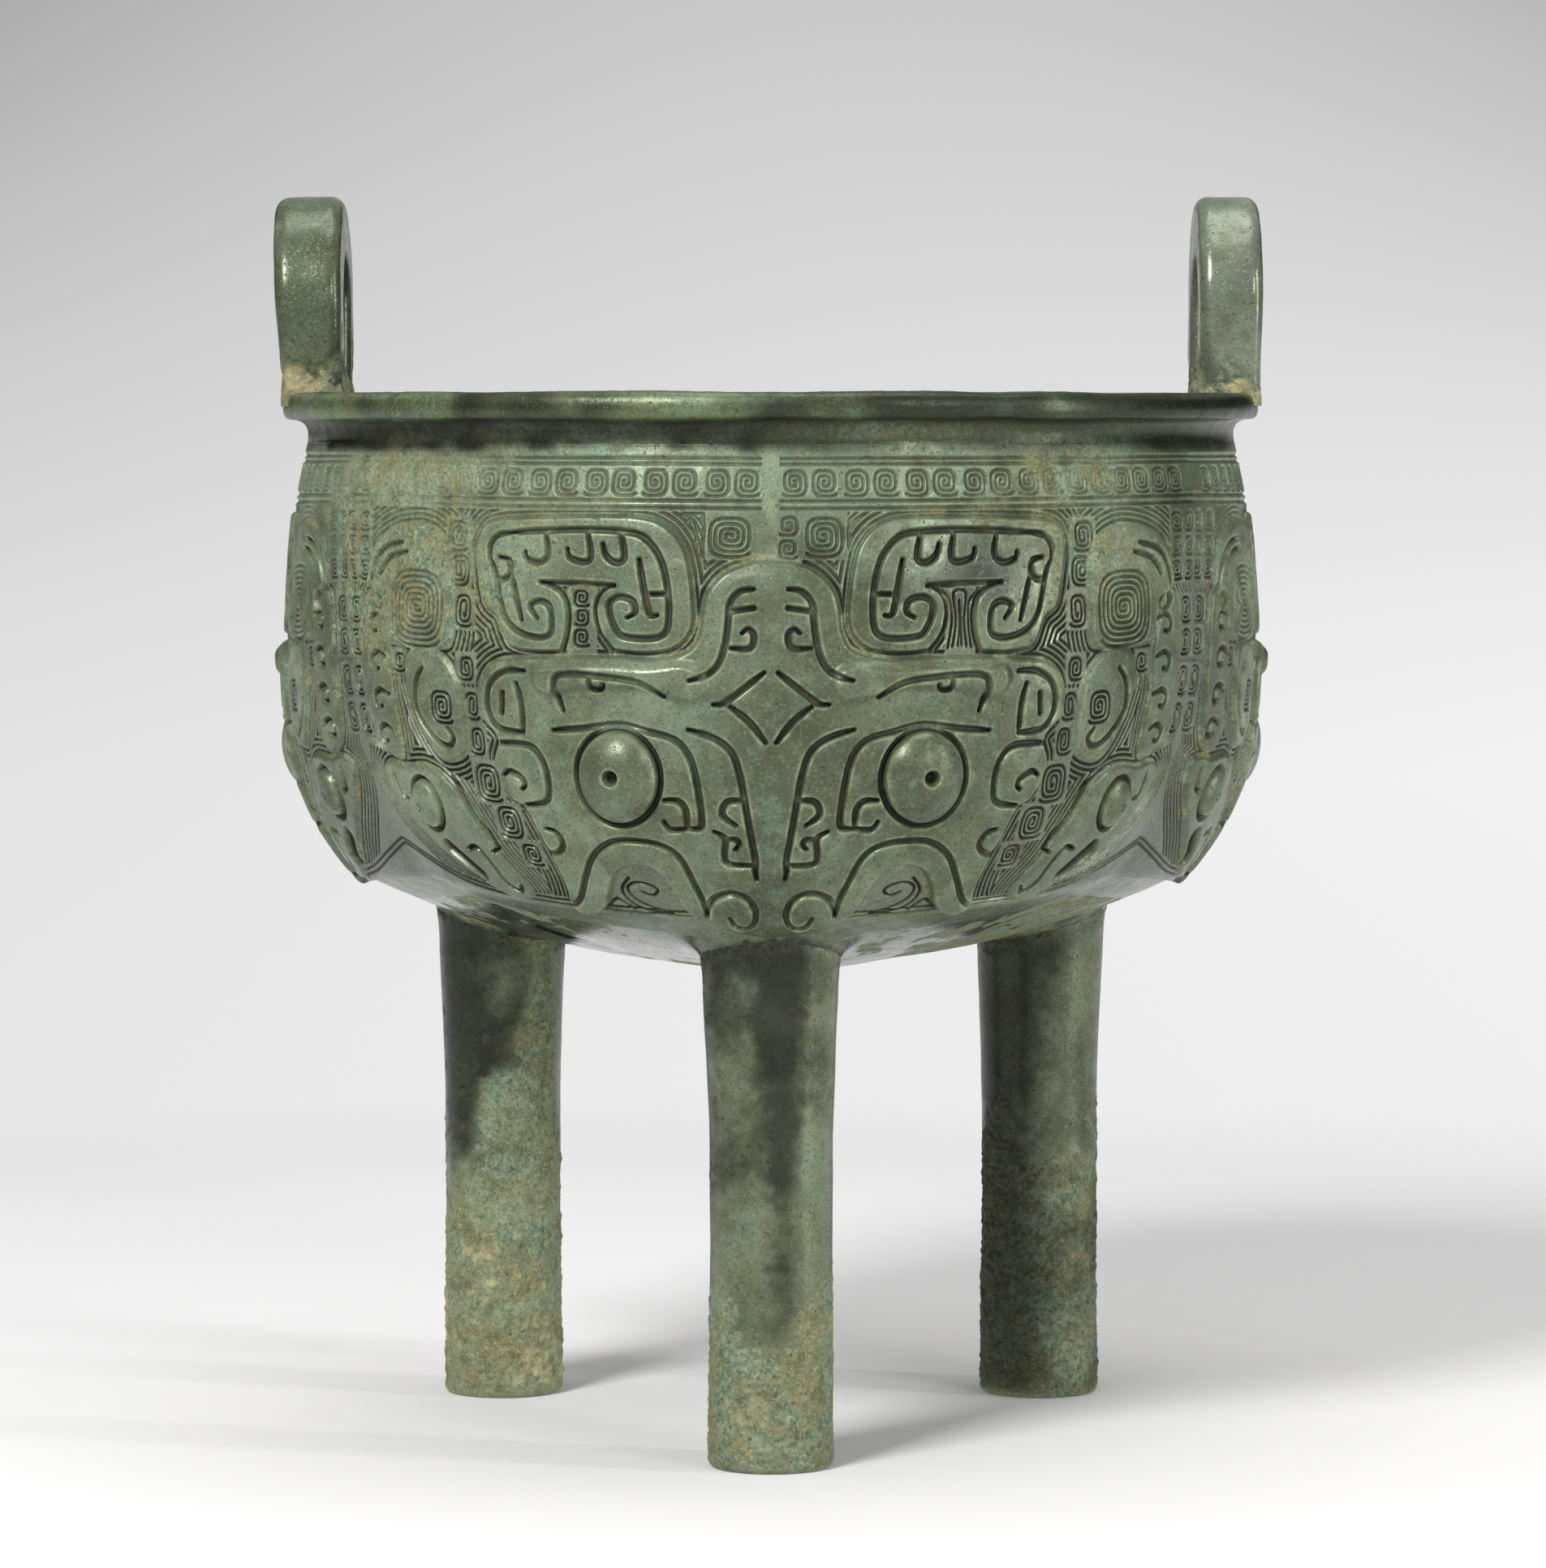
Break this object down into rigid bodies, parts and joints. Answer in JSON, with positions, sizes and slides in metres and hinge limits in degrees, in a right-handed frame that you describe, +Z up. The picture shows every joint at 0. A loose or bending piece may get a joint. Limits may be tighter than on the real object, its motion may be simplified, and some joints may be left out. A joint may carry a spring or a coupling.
{
  "type": "tripod cauldron",
  "caption": "Lobed bronze cauldron on column legs, with animal-mask relief round its wall and upright loop handles on a flat lip, for heating food over a fire.",
  "frame": {"origin": "on the floor, under the vessel's axis", "axes": "+Z up, -Y toward the front lobe, the two ears at +X and -X"},
  "size_m": [0.2058, 0.2044, 0.2529],
  "materials": {
    "body_bronze": "smooth grey-green patina",
    "dark_bronze": "dark olive patina",
    "crusted_bronze": "dark patina with green and ochre crust",
    "fired_clay": "coarse fired clay",
    "spacer_bronze": "grey-green patina"
  },
  "bodies": {
    "root": {"bowl": "body_bronze", "ear_left": "dark_bronze", "ear_right": "dark_bronze", "leg_front": "crusted_bronze", "leg_left": "crusted_bronze", "leg_right": "crusted_bronze", "leg_core_front": "fired_clay", "leg_core_left": "fired_clay", "leg_core_right": "fired_clay", "chaplet_1": "spacer_bronze", "chaplet_2": "spacer_bronze", "chaplet_3": "spacer_bronze", "chaplet_4": "spacer_bronze", "chaplet_5": "spacer_bronze", "chaplet_6": "spacer_bronze"}
  },
  "joints": []
}
